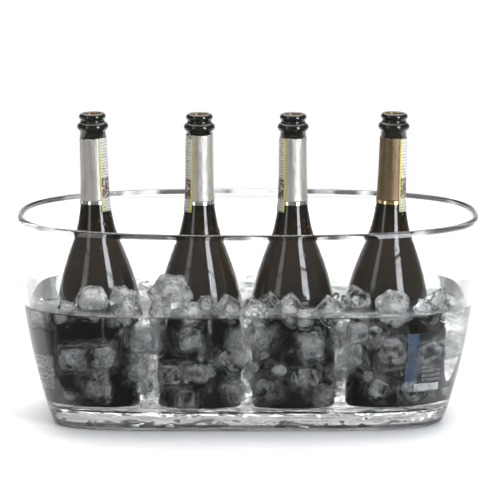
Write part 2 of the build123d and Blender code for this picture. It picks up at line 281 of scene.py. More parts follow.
def bottle_glass(name, gloss):
    """Very dark green glass, seen as opaque, with painted light: the wine's brown glowing where the
    shoulder is thinnest, and amber light through the glass inside the mouth.
    """
    shader = Shader(name, IOR=1.52, Specular_IOR_Level=gloss)
    x, y, z = shader.split()
    square = shader.math("ADD", shader.math("MULTIPLY", x, x), shader.math("MULTIPLY", y, y))
    radius = shader.math("SQRT", square)
    flow = shader.noise(14, 2, 0.5)
    dark = shader.ramp(flow, (0.3, (0.006, 0.0065, 0.0045)), (0.7, (0.011, 0.0095, 0.006)))
    # Painted light: the shoulder band where light through the wine would glow brown.
    glow = shader.math("MULTIPLY", shader.span(z, 0.087, 0.142), shader.span(z, 0.212, 0.162))
    body = shader.mix(glow, dark, (0.022, 0.013, 0.006))
    # Painted light: amber of light through the glass, inside the mouth.
    in_mouth = shader.math("LESS_THAN", radius, BORE_RADIUS * MM + 0.0006)
    shader.set("Base Color", shader.mix(in_mouth, body, (0.17, 0.085, 0.015)))
    shader.set("Roughness", shader.span(shader.noise(60, 3), 0.4, 0.8, 0.015, 0.07))
    return shader.material


def wine():
    shader = Shader("wine", Transmission_Weight=0.9, IOR=1.34, Roughness=0.02)
    depth = shader.noise(20)
    shader.set("Base Color", shader.ramp(depth, (0.3, (0.55, 0.36, 0.10)), (0.7, (0.72, 0.52, 0.20))))
    return shader.material


def foil(name, dark, light):
    """Satin capsule foil, smoothed up and down by hand."""
    shader = Shader(name, Metallic=1.0)
    streaks = shader.noise(1.0, 3, 0.5, shader.stretch((240, 240, 8)))
    dents = shader.noise(120, 3)
    long_tone = shader.math("MULTIPLY", streaks, 0.75)
    tone = shader.math("ADD", long_tone, shader.math("MULTIPLY", dents, 0.25))
    shader.set("Base Color", shader.ramp(tone, (0.34, dark), (0.64, light)))
    shader.set("Roughness", shader.span(tone, 0.35, 0.65, 0.48, 0.60))
    shader.bump(tone, 0.30, 0.0010)
    return shader.material


def bright_band(name, colour):
    shader = Shader(name, Metallic=1.0)
    rubbed = shader.noise(300, 3)
    shader.set("Base Color", shader.ramp(rubbed, (0.3, tuple(c * 0.82 for c in colour)), (0.7, colour)))
    shader.set("Roughness", shader.span(rubbed, 0.3, 0.7, 0.07, 0.2))
    shader.bump(shader.noise(500, 2), 0.15, 0.0004)
    return shader.material


def printed_paper(name, paper, ink, mark_size, ink_share, stamp=None):
    """Paper with a generic pattern of small marks, not lettering. stamp is a span of heights with blots."""
    shader = Shader(name, Roughness=0.62)
    fibres = shader.noise(900, 4, 0.6)
    marks = shader.noise(1.0, 2, 0.5, shader.stretch((1 / mark_size, 1 / mark_size, 2.2 / mark_size)))
    height = shader.split()[2]
    lines = shader.math("FRACT", shader.math("MULTIPLY", height, 1 / (2.4 * mark_size)))
    inked = shader.math("LESS_THAN", marks, ink_share)
    printed = shader.math("MULTIPLY", inked, shader.span(lines, 0.30, 0.36))
    ground = shader.ramp(fibres, (0.3, tuple(c * 0.93 for c in paper)), (0.7, paper))
    colour = shader.mix(shader.math("MULTIPLY", printed, 0.75), ground, ink)
    if stamp:
        low, high = stamp
        below_top = shader.span(height, high, high - 0.001)
        band = shader.math("MULTIPLY", shader.span(height, low, low + 0.001), below_top)
        blots = shader.span(shader.noise(520, 2), 0.42, 0.50)
        colour = shader.mix(shader.math("MULTIPLY", band, blots), colour, (0.10, 0.045, 0.035))
    shader.set("Base Color", colour)
    shader.bump(fibres, 0.25, 0.0002)
    return shader.material


def engraved_label(name):
    """A dark label with a pale pattern of leaves made of cells."""
    shader = Shader(name, Roughness=0.5)
    edges = shader.cells(330, "DISTANCE_TO_EDGE")
    veins = shader.cells(900, "DISTANCE_TO_EDGE")
    thin_lines = shader.span(veins, 0.12, 0.04, 0.0, 0.45)
    lines = shader.math("MAXIMUM", shader.span(edges, 0.12, 0.04), thin_lines)
    shader.set("Base Color", shader.mix(lines, (0.02, 0.02, 0.02), (0.42, 0.42, 0.40)))
    shader.bump(lines, 0.3, 0.0002)
    return shader.material


def flat_paper(name, paper):
    shader = Shader(name, Roughness=0.55)
    fibres = shader.noise(700, 4, 0.6)
    shader.set("Base Color", shader.ramp(fibres, (0.3, tuple(c * 0.85 for c in paper)), (0.7, paper)))
    shader.bump(fibres, 0.2, 0.0002)
    return shader.material


def droplet():
    shader = Shader("condensation", Base_Color=(1, 1, 1, 1), Transmission_Weight=1.0, IOR=1.333)
    shader.set("Roughness", shader.span(shader.noise(400), 0.3, 0.8, 0.0, 0.04))
    return shader.material


STAMP = (0.214, 0.236)
STRIP_PAPER, STRIP_INK = (0.70, 0.69, 0.65), (0.12, 0.12, 0.12)
SMALL_PAPER, SMALL_INK = (0.03, 0.032, 0.036), (0.34, 0.34, 0.35)
MATERIALS = {
    "acrylic": clear_acrylic("clear_acrylic", 1.49),
    "acrylic_wet": clear_acrylic("clear_acrylic_wetted", 1.118),
    "water": water_surface(),
    "water_side": invisible("water_side"),
    "ice_dry": ice_skin("ice_in_air", 1.31, (0.97, 0.985, 0.99)),
    "ice_wet": ice_skin("ice_in_water", 1.012, (0.97, 0.985, 0.99)),
    "haze": ice_cloud("ice_haze", 0.92, 0.46, 0.80, 0.42),
    "veil": ice_cloud("ice_veil", 0.94, 0.44, 0.74, 0.66),
    "core": ice_cloud("ice_core", 0.96, 0.40, 0.66, 0.94),
    "haze_wet": ice_cloud("ice_haze_in_water", 0.42, 0.48, 0.84, 0.40),
    "veil_wet": ice_cloud("ice_veil_in_water", 0.62, 0.48, 0.80, 0.62),
    "core_wet": ice_cloud("ice_core_in_water", 0.86, 0.44, 0.74, 0.92),
    "waterline": waterline(),
    "glass": bottle_glass("bottle_glass", 0.55),
    "glass_wet": bottle_glass("bottle_glass_in_water", 0.16),
    "wine": wine(),
    "silver_foil": foil("silver_foil", (0.46, 0.44, 0.40), (0.68, 0.65, 0.60)),
    "bronze_foil": foil("bronze_foil", (0.17, 0.12, 0.07), (0.30, 0.215, 0.13)),
    "silver_band": bright_band("silver_band", (0.92, 0.92, 0.90)),
    "gold_band": bright_band("gold_band", (0.92, 0.74, 0.38)),
    "strip": printed_paper("strip_paper", STRIP_PAPER, STRIP_INK, 0.0013, 0.52, STAMP),
    "strip_edge": flat_paper("strip_edge", (0.62, 0.55, 0.07)),
    "engraved": engraved_label("engraved_label"),
    "blue_label": flat_paper("blue_label", (0.055, 0.11, 0.22)),
    "dark_label": flat_paper("dark_label", (0.015, 0.016, 0.02)),
    "white_label": flat_paper("white_label", (0.85, 0.85, 0.83)),
    "small_print": printed_paper("small_print", SMALL_PAPER, SMALL_INK, 0.0020, 0.56),
    "droplet": droplet(),
}


# ---------------------------------------------------------------- meshes


def add_piece(name, mesh, body, replaced, materials, at=None):
    """Shows a mesh as a piece that rides on a CAD body and stands for CAD nodes."""
    piece = bpy.data.objects.new(name, mesh)
    bpy.context.scene.collection.objects.link(piece)
    if at is not None:
        piece.matrix_world = at
    if not mesh.materials:
        for material in materials:
            mesh.materials.append(MATERIALS[material])
    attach(piece, body)
    if replaced:
        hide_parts(*replaced)


def mesh_of(name, points, faces, smooth=True, slots=None):
    mesh = bpy.data.meshes.new(name)
    mesh.from_pydata(points, [], faces)
    mesh.polygons.foreach_set("use_smooth", [smooth] * len(mesh.polygons))
    if slots:
        mesh.polygons.foreach_set("material_index", slots)
    mesh.update()
    return mesh


def half_sizes(z, inset):
    """The outline's half length, half width and squareness at a height."""
    share = max(1 - z / BOWL_HEIGHT, 0)
    flare = share**FLARE_POWER
    up = max(z / BOWL_HEIGHT, 0) ** SQUARENESS_POWER
    half_length = RIM_HALF_LENGTH - LENGTH_FLARE * flare - inset
    half_width = RIM_HALF_WIDTH - WIDTH_FLARE * flare - inset
    return half_length, half_width, BASE_SQUARENESS - (BASE_SQUARENESS - RIM_SQUARENESS) * up


def outline(z, inset, scale=1.0):
    """The bowl's outline at a height, as points in metres."""
    half_length, half_width, squareness = half_sizes(z, inset)
    points = []
    for i in range(AROUND):
        turn = 2 * math.pi * i / AROUND
        c, s = math.cos(turn), math.sin(turn)
        reach = scale * MM / (abs(c) ** squareness + abs(s) ** squareness) ** (1 / squareness)
        points.append((half_length * c * reach, half_width * s * reach, z * MM))
    return points


def quarter(edge_z, wall_z, inset, radius, steps=8):
    """Heights and insets of a rounded edge, from the flat at edge_z to the wall at wall_z."""
    levels = []
    for i in range(steps + 1):
        turn = math.pi / 2 * i / steps
        z = edge_z + (wall_z - edge_z) * (1 - math.cos(turn))
        levels.append((z, inset + radius * (1 - math.sin(turn))))
    return levels


def spread(low, high, steps):
    return [low + (high - low) * i / steps for i in range(steps + 1)]


def lathe(rings, ends, slots):
    """Joins rings of equal length into a tube, and closes each end onto a point."""
    around = len(rings[0])
    points = [p for ring in rings for p in ring]
    faces, found = [], []
    for level in range(len(rings) - 1):
        for i in range(around):
            j = (i + 1) % around
            a, b = level * around, (level + 1) * around
            faces.append((a + i, a + j, b + j, b + i))
            found.append(slots[level])
    for end, level in zip(ends, (0, len(rings) - 1)):
        if end is None:
            continue
        points.append(end)
        for i in range(around):
            j = (i + 1) % around
            a = level * around
            first, second = (a + j, a + i) if level == 0 else (a + i, a + j)
            faces.append((len(points) - 1, first, second))
            found.append(slots[min(level, len(slots) - 1)])
    return points, faces, found


def level_gloss(mesh):
    """Keeps the front wall's shading from facing up outside, or down inside, where it draws in."""
    normals = []
    for vertex in mesh.vertices:
        normal = vertex.normal.copy()
        if WATER_LEVEL < vertex.co.z / MM < BOWL_HEIGHT - RIM_ROUND - 0.5 and vertex.co.y < 0:
            outside = normal.xy.dot(vertex.co.xy) > 0
            normal.z = min(normal.z, -GLOSS_TILT) if outside else max(normal.z, GLOSS_TILT)
            normal.normalize()
        normals.append(normal)
    mesh.normals_split_custom_set_from_vertices(normals)


def make_bowl():
    """The bowl, from the middle of its underside out, up, over the rim and down to its floor."""
    rim_z = BOWL_HEIGHT - RIM_ROUND
    floor_z = FLOOR + FLOOR_ROUND
    shrink = (0.35, 0.7, 0.9)
    rings = [outline(0, BASE_ROUND, scale) for scale in shrink]
    rings += [outline(z, inset) for z, inset in quarter(0, BASE_ROUND, 0, BASE_ROUND)]
    rings += [outline(z, 0) for z in spread(BASE_ROUND, rim_z, 48)[1:-1]]
    rings += [outline(z, inset) for z, inset in quarter(BOWL_HEIGHT, rim_z, 0, RIM_ROUND)[::-1]]
    rings += [outline(z, inset) for z, inset in quarter(BOWL_HEIGHT, rim_z, WALL, -RIM_ROUND)]
    rings += [outline(z, WALL) for z in spread(rim_z, WATER_LEVEL, 20)[1:]]
    dry = len(rings)
    rings += [outline(z, WALL) for z in spread(WATER_LEVEL, floor_z, 24)[1:-1]]
    rings += [outline(z, inset) for z, inset in quarter(FLOOR, floor_z, WALL, FLOOR_ROUND, 14)[::-1]]
    rings += [outline(FLOOR, WALL + FLOOR_ROUND, scale) for scale in shrink[::-1]]
    slots = [0 if level < dry - 1 else 1 for level in range(len(rings) - 1)]
    points, faces, found = lathe(rings, [(0, 0, 0), (0, 0, FLOOR * MM)], slots)
    mesh = mesh_of("bowl_moulding", points, faces, True, found)
    level_gloss(mesh)
    add_piece("bowl_moulding", mesh, "bowl", ["bowl"], ["acrylic", "acrylic_wet"])


def evaluated(piece):
    """A piece's mesh with its modifiers applied."""
    graph = bpy.context.evaluated_depsgraph_get()
    return bpy.data.meshes.new_from_object(piece.evaluated_get(graph))


def scratch_object(mesh):
    made = bpy.data.objects.new("scratch", mesh)
    bpy.context.scene.collection.objects.link(made)
    return made


def discard(piece):
    bpy.data.objects.remove(piece, do_unlink=True)


def remeshed(mesh, voxel):
    made = scratch_object(mesh)
    remesh = made.modifiers.new("voxels", "REMESH")
    remesh.mode = "VOXEL"
    remesh.voxel_size = voxel
    result = evaluated(made)
    discard(made)
    return result


def cubes_in(node):
    """Each loose cube of a CAD ice node, as a mesh of its own."""
    whole = bmesh.new()
    whole.from_mesh(NODES[node].data)
    bmesh.ops.remove_doubles(whole, verts=whole.verts, dist=1e-6)
    left = set(whole.verts)
    cubes = []
    while left:
        reached = {left.pop()}
        edge = list(reached)
        while edge:
            vertex = edge.pop()
            for link in vertex.link_edges:
                other = link.other_vert(vertex)
                if other not in reached:
                    reached.add(other)
                    edge.append(other)
        left -= reached
        order = {vertex: i for i, vertex in enumerate(reached)}
        faces = {face for vertex in reached for face in vertex.link_faces}
        mesh = bpy.data.meshes.new("cube")
        corners = [[order[v] for v in face.verts] for face in faces]
        mesh.from_pydata([v.co[:] for v in order], [], corners)
        cubes.append(mesh)
    whole.free()
    cubes.sort(key=lambda mesh: tuple(round(c, 5) for c in centre_of(mesh)))
    return cubes


def centre_of(mesh):
    total = Vector()
    for vertex in mesh.vertices:
        total += vertex.co
    return total / len(mesh.vertices)


def weather(mesh, seed, shrink, swell, chips):
    """Melts a cube's faces into soft lumps and shallow chips."""
    offset = Vector((seed * 3.17, seed * 1.31, seed * 2.73))
    normals = [vertex.normal.copy() for vertex in mesh.vertices]
    for vertex, normal in zip(mesh.vertices, normals):
        soft = noise.noise(vertex.co * 62 + offset)
        chip = abs(noise.noise(vertex.co * 150 - offset))
        fine = noise.noise(vertex.co * 420 + offset)
        vertex.co += normal * (-shrink + swell * soft - chips * chip + 0.00012 * fine)
    mesh.update()


def join(meshes):
    """One mesh of several, keeping each one's slots."""
    whole = bmesh.new()
    for mesh in meshes:
        whole.from_mesh(mesh)
    made = bpy.data.meshes.new("joined")
    whole.to_mesh(made)
    whole.free()
    return made


def split_at_water(mesh):
    """Cuts a floating cube at the water level and marks which faces are under it."""
    work = bmesh.new()
    work.from_mesh(mesh)
    level = WATER_LEVEL * MM
    whole = [*work.verts, *work.edges, *work.faces]
    cut = {"plane_co": (0, 0, level), "plane_no": (0, 0, 1), "dist": CUT_DISTANCE}
    bmesh.ops.bisect_plane(work, geom=whole, **cut)
    for face in work.faces:
        face.smooth = True
        face.material_index = 0 if face.calc_center_median().z > level else 1
    work.to_mesh(mesh)
    work.free()
    return mesh


def kept_clear(point):
    """A point moved, if need be, out of the bottles' way and off the bowl's wall."""
    x, y, z = (c / MM for c in point)
    for bottle in BOTTLES:
        axis_x = bottle["x"] + math.tan(math.radians(bottle["lean"])) * (z - FLOOR)
        away = math.hypot(x - axis_x, y)
        if away < CLOUD_CLEAR:
            grow = CLOUD_CLEAR / max(away, 1.0)
            x, y = axis_x + (x - axis_x) * grow, y * grow
    z = min(max(z, FLOOR + 1.5), WATER_LEVEL - 1.0)
    low = max(FLOOR + FLOOR_ROUND - z, 0.0)
    tuck = FLOOR_ROUND - math.sqrt(FLOOR_ROUND**2 - low**2)
    half_length, half_width, squareness = half_sizes(z, WALL + 1.2 + tuck)
    out = (abs(x / half_length) ** squareness + abs(y / half_width) ** squareness) ** (1 / squareness)
    if out > 1:
        x, y = x / out, y / out
    return Vector((x * MM, y * MM, z * MM))


def cloud(cube, seed, sizes, spill):
    """Nested shells of haze, veil and core round a cube's middle. spill lets them pass its faces."""
    shells = []
    middle = centre_of(cube)
    for number, size in enumerate(sizes):
        shell = cube.copy()
        for vertex in shell.vertices:
            vertex.co = middle + (vertex.co - middle) * size
        shell.update()
        shell = remeshed(shell, CLOUD_VOXEL)
        weather(shell, seed + number * 7.3, 0.0, 0.0045 * size, 0.0015)
        if spill:
            for vertex in shell.vertices:
                vertex.co = kept_clear(vertex.co)
        shell.polygons.foreach_set("material_index", [number] * len(shell.polygons))
        shells.append(shell)
    whole = join(shells)
    whole.polygons.foreach_set("use_smooth", [True] * len(whole.polygons))
    return whole


def make_ice():
    """Ice for every CAD ice node. Returns the shapes that the floating cubes press into the water."""
    cutters = []
    seed = 1.0
    for node in sorted(name for name in NODES if name.startswith("ice_")):
        sunk = node.startswith("ice_sunk")
        skins, clouds = [], []
        for cube in cubes_in(node):
            seed += 1.0
            skin = remeshed(cube, SUNK_VOXEL if sunk else FLOAT_VOXEL)
            weather(skin, seed, 0.0006, 0.0013, 0.0012 if sunk else 0.0022)
            if not sunk:
                cutter = remeshed(cube, CUTTER_VOXEL)
                weather(cutter, seed, 0.0008, 0.0013, 0.0022)
                cutters.append(cutter)
                skin = split_at_water(skin)
            else:
                skin.polygons.foreach_set("use_smooth", [True] * len(skin.polygons))
            skins.append(skin)
            sizes = SUNK_CLOUD if sunk else FLOAT_CLOUDS.get(node, FLOAT_CLOUD)
            clouds.append(cloud(cube, seed, sizes, sunk))
        slots = ["ice_wet"] if sunk else ["ice_dry", "ice_wet"]
        add_piece(node.replace("ice", "ice_block"), join(skins), "bowl", [node], slots)
        hearts = WET_CLOUD if sunk else DRY_CLOUD
        add_piece(node.replace("ice", "ice_heart"), join(clouds), "bowl", [], hearts)
    return cutters


def make_slush():
    """Small cloudy lumps in the gaps between the bottles and in front of them."""
    dice = random.Random(5)
    places = []
    for gap_x in SLUSH_GAPS:
        for _ in range(SLUSH_PER_GAP):
            x = gap_x + dice.uniform(-9, 9)
            places.append((x, dice.uniform(-66, -28), dice.uniform(34, 122)))
    for _ in range(SLUSH_IN_FRONT):
        x = dice.uniform(-200, 200)
        places.append((x, dice.uniform(-96, -56), dice.uniform(30, 124)))
    lumps = []
    for number, at in enumerate(places):
        work = bmesh.new()
        bmesh.ops.create_icosphere(work, subdivisions=2, radius=dice.uniform(7, 13) * MM)
        bmesh.ops.scale(work, vec=[dice.uniform(0.7, 1.3) for _ in range(3)], verts=work.verts)
        bmesh.ops.translate(work, vec=Vector(at) * MM, verts=work.verts)
        lump = bpy.data.meshes.new("lump")
        work.to_mesh(lump)
        work.free()
        lumps.append(cloud(lump, 200 + number, SLUSH_CLOUD, True))
    add_piece("ice_slush", join(lumps), "bowl", [], WET_CLOUD)


def dent(cutter):
    """The hollow that a floating cube presses into the water: its faces below the surface, turned over."""
    work = bmesh.new()
    work.from_mesh(cutter)
    level = WATER_LEVEL * MM
    whole = [*work.verts, *work.edges, *work.faces]
    cut = {"plane_co": (0, 0, level), "plane_no": (0, 0, 1), "dist": CUT_DISTANCE}
    bmesh.ops.bisect_plane(work, geom=whole, clear_outer=True, **cut)
    bmesh.ops.reverse_faces(work, faces=work.faces)
    rim = [[v.co.xy.copy() for v in edge.verts] for edge in work.edges if len(edge.link_faces) == 1]
    mesh = bpy.data.meshes.new("dent")
    work.to_mesh(mesh)
    work.free()
    return mesh, rim


def water_top(rims, ring):
    """The water's surface, open where the cubes float, as points and triangles."""
    edges = [pair for rim in rims for pair in rim]
    for i, point in enumerate(ring):
        edges.append([Vector(point[:2]), Vector(ring[(i + 1) % len(ring)][:2])])
    flat = [point for pair in edges for point in pair]
    links = [(2 * i, 2 * i + 1) for i in range(len(edges))]
    found, _, triangles, *_ = geometry.delaunay_2d_cdt(flat, links, [], 0, CUT_DISTANCE)
    starts = np.array([pair[0][:] for pair in edges])
    ends = np.array([pair[1][:] for pair in edges])
    kept = []
    for triangle in triangles:
        x, y = sum((found[i] for i in triangle), Vector((0, 0))) / len(triangle)
        spans = (starts[:, 1] > y) != (ends[:, 1] > y)
        one, two = starts[spans], ends[spans]
        cross = one[:, 0] + (y - one[:, 1]) / (two[:, 1] - one[:, 1]) * (two[:, 0] - one[:, 0])
        if np.count_nonzero(cross > x) % 2:
            kept.append(tuple(triangle))
    return [(*point, WATER_LEVEL * MM) for point in found], kept


def make_water(cutters):
    """The water: its surface refracts, and its sides, which the bowl's wetted wall stands for, don't."""
    inset = WALL + WATER_GAP
    low = FLOOR + WATER_GAP
    rings = [outline(low, inset + FLOOR_ROUND, scale) for scale in (0.4, 0.8)]
    rings += [outline(z, taken) for z, taken in quarter(low, FLOOR + FLOOR_ROUND, inset, FLOOR_ROUND, 8)]
    upright = spread(FLOOR + FLOOR_ROUND, WATER_LEVEL - WATERLINE, 12)
    rings += [outline(z, inset) for z in upright[1:]]
    rings += [outline(WATER_LEVEL, inset)]
    points, faces, found = lathe(rings, [(0, 0, low * MM), None], [1] * (len(rings) - 2) + [2])
    sides = mesh_of("water_sides", points, faces, True, found)
    dents, rims = zip(*(dent(cutter) for cutter in cutters))
    top = mesh_of("water_top", *water_top(rims, rings[-1]))
    work = bmesh.new()
    for mesh, slot in [(top, 0), (sides, None), *((mesh, 1) for mesh in dents)]:
        known = len(work.faces)
        work.from_mesh(mesh)
        work.faces.ensure_lookup_table()
        for face in work.faces[known:]:
            face.material_index = face.material_index if slot is None else slot
            face.smooth = slot != 0
    bmesh.ops.remove_doubles(work, verts=work.verts, dist=2e-6)
    whole = bpy.data.meshes.new("water_body")
    work.to_mesh(whole)
    work.free()
    add_piece("water_body", whole, "bowl", ["water"], ["water", "water_side", "waterline"])


# ---------------------------------------------------------------- bottles


def place(bottle):
    """Where a bottle stands, as a matrix."""
    lean = math.radians(bottle["lean"])
    drop = FOOT_RADIUS * math.sin(abs(lean))
    at = Matrix.Translation((bottle["x"] * MM, 0, (FLOOR + FLOOR_GAP + drop) * MM))
    return at @ Matrix.Rotation(lean, 4, "Y")


def curve_through(points, steps):
    """A smooth line through points, with upright ends."""
    slopes = []
    for i, (r, z) in enumerate(points):
        if i in (0, len(points) - 1):
            slopes.append(0.0 if i == 0 else (r - points[i - 1][0]) / (z - points[i - 1][1]))
        else:
            (r0, z0), (r1, z1) = points[i - 1], points[i + 1]
            slopes.append((r1 - r0) / (z1 - z0))
    line = []
    for i in range(len(points) - 1):
        (r0, z0), (r1, z1) = points[i], points[i + 1]
        gap = z1 - z0
        for step in range(steps):
            t = step / steps
            t2, t3 = t * t, t**3
            r = (2 * t3 - 3 * t2 + 1) * r0 + (t3 - 2 * t2 + t) * gap * slopes[i]
            r += (3 * t2 - 2 * t3) * r1 + (t3 - t2) * gap * slopes[i + 1]
            line.append((r, z0 + gap * t))
    line.append(points[-1])
    return line


def arc_through(a, b, c, steps):
    """Points on the circle from a through b to c, without a."""
    (ax, ay), (bx, by), (cx, cy) = a, b, c
    d = 2 * (ax * (by - cy) + bx * (cy - ay) + cx * (ay - by))
    squares = [x * x + y * y for x, y in (a, b, c)]
    ux = (squares[0] * (by - cy) + squares[1] * (cy - ay) + squares[2] * (ay - by)) / d
    uy = (squares[0] * (cx - bx) + squares[1] * (ax - cx) + squares[2] * (bx - ax)) / d
    turns = [math.atan2(y - uy, x - ux) for x, y in (a, b, c)]
    radius = math.hypot(ax - ux, ay - uy)
    sweep = (turns[2] - turns[0]) % (2 * math.pi)
    if (turns[1] - turns[0]) % (2 * math.pi) > sweep:
        sweep -= 2 * math.pi
    found = []
    for i in range(1, steps + 1):
        turn = turns[0] + sweep * i / steps
        found.append((ux + radius * math.cos(turn), uy + radius * math.sin(turn)))
    return found


OUTSIDE = curve_through([*SHOULDER, NECK_TOP], 6)


def neck_radius(height):
    """The radius of the glass at a height on the shoulder or neck."""
    for (r0, z0), (r1, z1) in zip(OUTSIDE, OUTSIDE[1:]):
        if z0 <= height <= z1:
            return r0 + (r1 - r0) * (height - z0) / (z1 - z0)
    return OUTSIDE[0][0] if height < OUTSIDE[0][1] else OUTSIDE[-1][0]


def glass_profile():
    """The glass in section, from the punt out, up and over the lip, and down the bore to the wine."""
    line = [(1.0, PUNT_HEIGHT)]
    line += arc_through((0, PUNT_HEIGHT), (20, 15.0), (33, 2.5), 14)
    line += arc_through((33, 2.5), (34.2, 0.6), (FOOT_RADIUS, 0), 5)
    heel = SHOULDER[0][0] - FOOT_RADIUS
    for i in range(1, 9):
        turn = math.pi / 2 * i / 8
        line.append((FOOT_RADIUS + heel * math.sin(turn), heel * (1 - math.cos(turn))))
    line += [(SHOULDER[0][0], z) for z in (30, 52, 75)]
    line += OUTSIDE
    line += arc_through(NECK_TOP, (16.6, 289.4), (13.1, 294.4), 12)
    line.append((12.7, 297.4))
    lip = (12.6, BOTTLE_HEIGHT - 0.4)
    line += arc_through((12.7, 297.4), (14.3, 300.4), lip, 9)
    line += arc_through(lip, (11.2, BOTTLE_HEIGHT), (9.8, BOTTLE_HEIGHT - 0.5), 5)
    line += [(9.3, BOTTLE_HEIGHT - 0.9), (BORE_RADIUS, BOTTLE_HEIGHT - 1.6)]
    line += [(BORE_RADIUS, z) for z in (292, 280, 262, 242, 228)]
    line += [(11.4, 200), (14.5, 188), (6.0, 188.2), (1.0, 188.4)]
    return line


def wet_faces(mesh, level):
    """Marks the faces of a bottle that are under water."""
    for face in mesh.polygons:
        face.material_index = 1 if face.center.z < level * MM else 0


def turned_mesh(name, line):
    rings = []
    for r, z in line:
        ring = []
        for i in range(TURN_STEPS):
            turn = 2 * math.pi * i / TURN_STEPS
            ring.append((r * MM * math.cos(turn), r * MM * math.sin(turn), z * MM))
        rings.append(ring)
    ends = [(0, 0, line[0][1] * MM), (0, 0, line[-1][1] * MM)]
    points, faces, _ = lathe(rings, ends, [0] * len(rings))
    return mesh_of(name, points, faces)


def sleeve(name, bottom, top_at, start, arc, grid, gap, relief, thickness):
    """A thin skin round the glass whose top edge and surface may vary with the angle and height."""
    columns, rows = grid
    closed = arc >= 360
    across = columns if closed else columns + 1
    points, faces = [], []
    for side in (0, 1):
        for row in range(rows + 1):
            for column in range(across):
                angle = math.radians(start + arc * column / columns)
                height = bottom + (top_at(angle) - bottom) * row / rows
                r = neck_radius(height) + gap + side * thickness + relief(angle, height)
                points.append((r * MM * math.cos(angle), r * MM * math.sin(angle), height * MM))
    layer = (rows + 1) * across

    def at(side, row, column):
        return side * layer + row * across + column % across

    def close(side, one, two):
        """A face of the rim between two neighbouring places, on from the side given."""
        other = 1 - side
        faces.append([at(side, *one), at(side, *two), at(other, *two), at(other, *one)])

    for row in range(rows):
        for column in range(columns):
            quad = [(row, column), (row, column + 1), (row + 1, column + 1), (row + 1, column)]
            faces.append([at(1, *corner) for corner in quad])
            faces.append([at(0, *corner) for corner in quad[::-1]])
    for column in range(columns):
        close(0, (0, column), (0, column + 1))
        close(1, (rows, column), (rows, column + 1))
    if not closed:
        for row in range(rows):
            close(1, (row, 0), (row + 1, 0))
            close(0, (row, columns), (row + 1, columns))
    return mesh_of(name, points, faces)


def ring_noise(angle, height, scale, seed):
    x, y = math.cos(angle) * scale, math.sin(angle) * scale
    return noise.noise(Vector((x, y, height * 0.02 * scale + seed)))


def make_foil(number, at):
    """What is left of the foil: creased, with a torn upper edge."""
    body = f"bottle_{number}"
    high = FOIL_TOPS[number - 1]
    seed = number * 11.7

    def torn(angle):
        tear = 1.3 * ring_noise(angle, 0, 2.2, seed) + 0.7 * ring_noise(angle, 0, 7.0, seed + 3)
        return high - 1.2 + tear

    def creases(angle, height):
        loose = max(0.0, (height - high + 10) / 10)
        curl = 0.35 * loose * max(ring_noise(angle, 0, 4, seed + 9), -0.3)
        return 0.16 * ring_noise(angle, height, 6, seed) + curl

    mesh = sleeve(body + "_foil", FOIL_BOTTOM, torn, 0, 360, (144, 60), 0.26, creases, 0.18)
    foil_slot = "bronze_foil" if number == 4 else "silver_foil"
    add_piece(body + "_foil", mesh, body, [body + "_foil_sleeve"], [foil_slot], at)


def make_strip(number, bottle, at):
    """The paper strip down the neck, with a coloured edge."""
    body = f"bottle_{number}"
    start = bottle["strip"] - STRIP_ANGLE / 2
    seed = number * 5.1

    def relief(angle, height):
        return 0.10 * ring_noise(angle, height, 5, seed) + 0.05

    def straight(angle):
        return STRIP_TOP

    name = body + "_strip"
    mesh = sleeve(name, STRIP_BOTTOM, straight, start, STRIP_ANGLE, (16, 40), 0.62, relief, 0.2)
    slots = []
    for face in mesh.polygons:
        share = (math.degrees(math.atan2(face.center.y, face.center.x)) - start) % 360 / STRIP_ANGLE
        from_front = share if bottle["strip"] > -90 else 1 - share
        slots.append(1 if from_front < STRIP_EDGE else 0)
    mesh.polygons.foreach_set("material_index", slots)
    papers = ["strip", "strip_edge"]
    add_piece(name, mesh, body, [body + "_neck_strip"], papers, at)


def make_label(number, bottle, at):
    """The body label: a thin sheet on the glass, printed with generic patterns."""
    body = f"bottle_{number}"
    start = bottle["label"] - LABEL_ANGLE / 2

    def lifted(angle, height):
        """The sheet's corners stand a little off the wet glass."""
        along = math.degrees(angle) - start
        to_end = min(abs(along), abs(along - LABEL_ANGLE)) / LABEL_ANGLE
        to_edge = min(height - LABEL_BOTTOM, LABEL_TOP - height) / (LABEL_TOP - LABEL_BOTTOM)
        return 0.25 * max(0.0, 1 - 9 * to_end) * max(0.0, 1 - 5 * to_edge)

    def straight(angle):
        return LABEL_TOP

    grid = (LABEL_COLUMNS, LABEL_ROWS)
    name = body + "_label"
    mesh = sleeve(name, LABEL_BOTTOM, straight, start, LABEL_ANGLE, grid, 0.14, lifted, 0.22)
    slots = []
    for face in mesh.polygons:
        x, y, z = face.center
        turn = (math.degrees(math.atan2(y, x)) - start) % 360
        slots.append(label_slot(number, turn, z / MM))
    mesh.polygons.foreach_set("material_index", slots)
    papers = ["dark_label", "blue_label", "white_label", "engraved", "small_print"]
    add_piece(name, mesh, body, [body + "_body_label"], papers, at)


def label_slot(number, turn, height):
    """Which paper a place on a label shows. turn runs from its left edge, seen from outside."""
    dark, blue, white, engraved, print_marks = range(5)
    if number == 4:
        if 13 < turn < 56 and height < 27:
            return white
        if 24 < turn < 60 and 30 < height < 46:
            return print_marks
        return blue if turn < 16 else dark
    if number == 1 and (height > 56 or turn < 88):
        return dark
    return engraved


